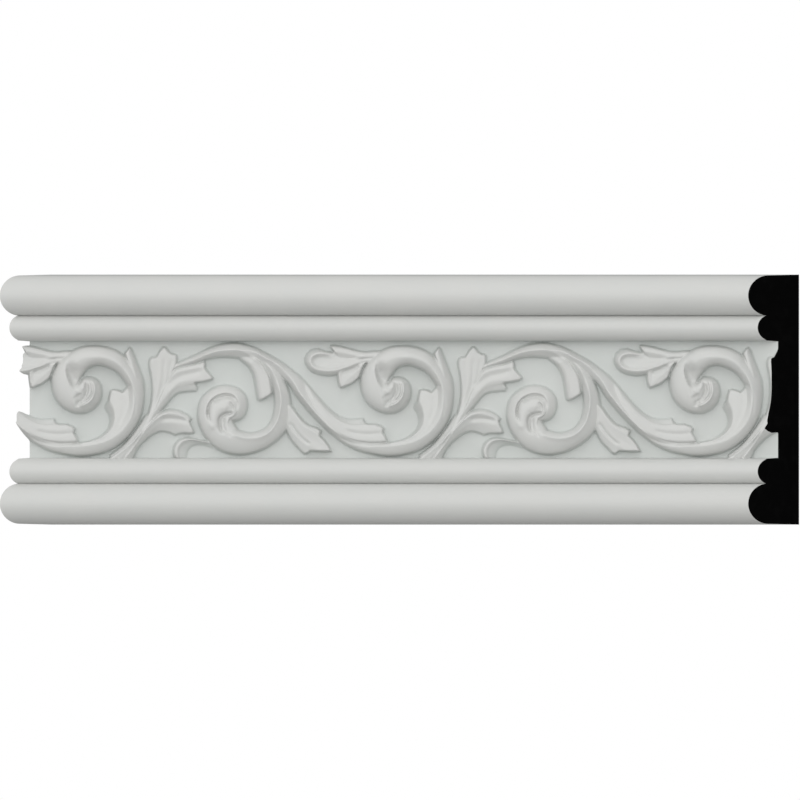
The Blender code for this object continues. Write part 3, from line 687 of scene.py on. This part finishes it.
def board():
    """The plain run: its section laid out from a filled circle and drawn along X, its field a little low."""
    upper = [
        (FIELD - BOARD_UNDER_FIELD, FIELD_HALF_HEIGHT),
        (FIELD + STEP_HEIGHT, FIELD_HALF_HEIGHT + STEP_DRAFT),
        *bead(INNER_NOSE, INNER_BEAD_MIDDLE, INNER_BEAD_RADIUS, *INNER_BEAD_TURNS),
        *bead(OUTER_NOSE, OUTER_BEAD_MIDDLE, OUTER_BEAD_RADIUS, *OUTER_BEAD_TURNS),
        (0.0, HEIGHT / 2),
    ]
    section = upper + [(depth, -up) for depth, up in reversed(upper)]
    half_run = RUN / 2 + 1.5 * OUTER_NOSE
    bpy.ops.object.select_all(action="DESELECT")
    bpy.ops.mesh.primitive_circle_add(vertices=len(section), fill_type="NGON")
    plank = bpy.context.object
    plank.name = NODE + "_cast"
    for corner, (depth, up) in zip(plank.data.vertices, section):
        corner.co = (-half_run, -depth, up)
    bpy.ops.object.mode_set(mode="EDIT")
    bpy.ops.mesh.select_all(action="SELECT")
    bpy.ops.mesh.extrude_region_move(TRANSFORM_OT_translate={"value": (2 * half_run, 0, 0)})
    bpy.ops.mesh.select_all(action="SELECT")
    bpy.ops.mesh.normals_make_consistent(inside=False)
    bpy.ops.object.mode_set(mode="OBJECT")
    return plank


def mitre(piece, side, finish_index):
    """Saws an end off at 45 degrees and gives the cut its finish. Side is -1 on the left, 1 on the right."""
    only(piece)
    out = Vector((side, -side, 0)).normalized()
    at = Vector((side * RUN / 2, 0, 0))
    bpy.ops.object.mode_set(mode="EDIT")
    bpy.ops.mesh.select_all(action="SELECT")
    bpy.ops.mesh.bisect(plane_co=at, plane_no=out, use_fill=True, clear_outer=True, threshold=SAW_REACH)
    bpy.ops.object.mode_set(mode="OBJECT")
    for face in piece.data.polygons:
        if face.normal.dot(out) > 0.999 and abs((face.center - at).dot(out)) < ON_CUT:
            face.material_index = finish_index


class Wire:
    """One socket of a shader that is reckoned with like a number: each sign adds its Math node."""

    def __init__(self, tree, socket):
        self.tree = tree
        self.socket = socket

    def reckoned(self, operation, other):
        return added(self.tree, "ShaderNodeMath", {"operation": operation}, {0: self, 1: other})

    def __add__(self, other):
        return self.reckoned("ADD", other)

    def __mul__(self, other):
        return self.reckoned("MULTIPLY", other)

    __radd__ = __add__
    __rmul__ = __mul__


def added(tree, kind, settings=(), values=(), output=0):
    """Adds a node, its settings first and then the values or wires of its sockets, and gives one output."""
    node = tree.nodes.new(kind)
    for key, value in dict(settings).items():
        setattr(node, key, value)
    for key, value in dict(values).items():
        if isinstance(value, Wire):
            tree.links.new(value.socket, node.inputs[key])
        else:
            node.inputs[key].default_value = value
    return Wire(tree, node.outputs[output])


def place_on(tree):
    """The place on the casting itself, in metres."""
    return added(tree, "ShaderNodeTexCoord", output="Object")


def speckle(tree, scale, detail=2.0, stretch=(1, 1, 1)):
    """Noise of 0 to 1 over the surface, scale blotches to a metre."""
    place = added(tree, "ShaderNodeVectorMath", {"operation": "MULTIPLY"}, {0: place_on(tree), 1: stretch})
    return added(tree, "ShaderNodeTexNoise", values={"Vector": place, "Scale": scale, "Detail": detail})


def ramped(tree, value, start, end):
    """0 below start, 1 above end and smooth between them."""
    sockets = {"Value": value, "From Min": start, "From Max": end}
    return added(tree, "ShaderNodeMapRange", {"interpolation_type": "SMOOTHSTEP"}, sockets)


def blended(tree, share, first, second):
    """A colour on the way from the first to the second."""
    sockets = {0: share, 6: first, 7: second}
    return added(tree, "ShaderNodeMix", {"data_type": "RGBA"}, sockets, output=2)


def bumped(tree, height, strength, distance):
    """A normal that is roughened by a height."""
    sockets = {"Height": height, "Strength": strength, "Distance": distance}
    return added(tree, "ShaderNodeBump", values=sockets)


def finish(name):
    """A new material with its tree and its shader."""
    material = bpy.data.materials.new(name)
    material.use_nodes = True
    return material, material.node_tree, material.node_tree.nodes["Principled BSDF"]


def wired(tree, shader, **wires):
    """Joins wires to the shader's sockets, whose names are given with _ for each space."""
    for name, wire in wires.items():
        tree.links.new(wire.socket, shader.inputs[name.replace("_", " ")])


def primer():
    """Sprayed satin primer: grey white, faintly mottled, with a fine skin; greener and darker on the low
    field, the darker part painted shade.
    """
    material, tree, shader = finish("primed_polyurethane")
    shader.inputs["Specular IOR Level"].default_value = 0.5
    depth = added(tree, "ShaderNodeSeparateXYZ", values={0: place_on(tree)}, output="Y")
    # The field's tint covers the low field and the foot of the relief's walls up to 4.5 mm above it, as
    # painted shade in the recess.
    height = ramped(tree, depth * -1.0, FIELD + 0.3 * MM, FIELD + 4.5 * MM)
    mottle = ramped(tree, speckle(tree, 45.0, 3.0), 0.3, 0.7)
    cloud = ramped(tree, speckle(tree, 9.0, 2.0, (0.5, 1, 1)), 0.3, 0.7)
    low = blended(tree, mottle, FIELD_TINT_WITH_PAINTED_SHADE, FIELD_TINT_WITH_PAINTED_SHADE_WORN)
    high = blended(tree, mottle, RELIEF_TINT, RELIEF_TINT_WORN)
    tint = blended(tree, height, low, high)
    tint = blended(tree, cloud * 0.35, tint, BEAD_TINT)
    grain = speckle(tree, 1500.0, 2.0)
    skin = speckle(tree, 420.0, 2.0)
    sheen = 0.41 + 0.07 * mottle + 0.05 * grain
    relief_bump = bumped(tree, skin * 0.7 + grain * 0.3, 0.35, 0.02 * MM)
    wired(tree, shader, Base_Color=tint, Roughness=sheen, Normal=relief_bump)
    return material


def blackened():
    """The sawn ends: blackened, matt, with the saw's faint strokes across the cut."""
    material, tree, shader = finish("blackened_section")
    shader.inputs["Specular IOR Level"].default_value = 0.03
    strokes = speckle(tree, 60.0, 3.0, (1, 1, 30))
    dust = ramped(tree, speckle(tree, 180.0, 3.0), 0.45, 0.8)
    tint = blended(tree, dust * 0.6 + strokes * 0.4, BLACK_TINT, BLACK_TINT_WORN)
    saw_marks = bumped(tree, strokes, 0.3, 0.05 * MM)
    wired(tree, shader, Base_Color=tint, Roughness=0.86 + 0.1 * strokes, Normal=saw_marks)
    return material


def pale_floor():
    """Plain pale grey, hardly uneven."""
    material, tree, shader = finish("pale_floor")
    patches = speckle(tree, 3.0, 3.0)
    tint = blended(tree, patches, FLOOR_TINT, FLOOR_TINT_WORN)
    wired(tree, shader, Base_Color=tint, Roughness=0.75 + 0.1 * patches)
    return material


def casting():
    """The one piece of the moulding: board and relief united, both ends mitred, primed and blackened."""
    piece = board()
    skin = relief()
    applied(piece, "BOOLEAN", operation="UNION", solver="EXACT", object=skin)
    bpy.data.objects.remove(skin)
    piece.data.materials.clear()
    for material in (primer(), blackened()):
        piece.data.materials.append(material)
    for side in (-1, 1):
        mitre(piece, side, 1)
    only(piece)
    bpy.ops.object.shade_smooth_by_angle(angle=CREASE)
    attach(piece, "root")
    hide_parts(NODE)


def strength_towards(tree, axis, side):
    """0 to 1 by how far a direction of the surround points to one side of an axis: side is -1 or 1."""
    towards = added(tree, "ShaderNodeTexCoord", output="Generated")
    along = added(tree, "ShaderNodeSeparateXYZ", values={0: towards}, output=axis)
    return (along * side).reckoned("MAXIMUM", 0.0)


def studio():
    """A white surround, a pale floor far below and soft light, strongest in front, then above and left."""
    world = bpy.data.worlds.new("white_surround")
    world.use_nodes = True
    tree = world.node_tree
    tree.nodes.clear()
    front = strength_towards(tree, "Y", -1.0)
    above = strength_towards(tree, "Z", 1.0)
    left = strength_towards(tree, "X", -1.0)
    brightest = FRONT_LIGHT + UPPER_LIGHT + LEFT_LIGHT
    share = (FRONT_LIGHT * front * front + UPPER_LIGHT * above + LEFT_LIGHT * left) * (1 / brightest)
    dark = added(tree, "ShaderNodeBackground", values={"Color": (1, 1, 1, 1), "Strength": 0.0})
    bright = added(tree, "ShaderNodeBackground", values={"Color": (1, 1, 1, 1), "Strength": brightest})
    light = added(tree, "ShaderNodeMixShader", values={0: share, 1: dark, 2: bright})
    backdrop = added(tree, "ShaderNodeBackground", values={"Color": (1, 1, 1, 1), "Strength": 1.0})
    path = added(tree, "ShaderNodeLightPath", output="Is Camera Ray")
    seen = added(tree, "ShaderNodeMixShader", values={0: path, 1: light, 2: backdrop})
    surface = tree.nodes.new("ShaderNodeOutputWorld").inputs["Surface"]
    tree.links.new(seen.socket, surface)
    bpy.context.scene.world = world
    bpy.ops.mesh.primitive_plane_add(size=FLOOR_SIDE, location=(0, 0, FLOOR_LEVEL))
    floor = bpy.context.object
    floor.name = "floor"
    floor.data.materials.append(pale_floor())


def camera():
    """Straight on and parallel, framed as the photograph is."""
    lens = bpy.data.cameras.new("camera")
    lens.type = "ORTHO"
    lens.ortho_scale = PHOTO_SIDE * PHOTO_SCALE
    eye = bpy.data.objects.new("camera", lens)
    across = (PHOTO_SIDE / 2 - RUN_MIDDLE_PIXEL[0]) * PHOTO_SCALE
    up = (RUN_MIDDLE_PIXEL[1] - PHOTO_SIDE / 2) * PHOTO_SCALE
    eye.location = (across, -CAMERA_DISTANCE, up)
    eye.rotation_euler = (math.pi / 2, 0, 0)
    bpy.context.scene.collection.objects.link(eye)
    bpy.context.scene.camera = eye
    bpy.context.scene.view_settings.view_transform = "Standard"


casting()
studio()
camera()
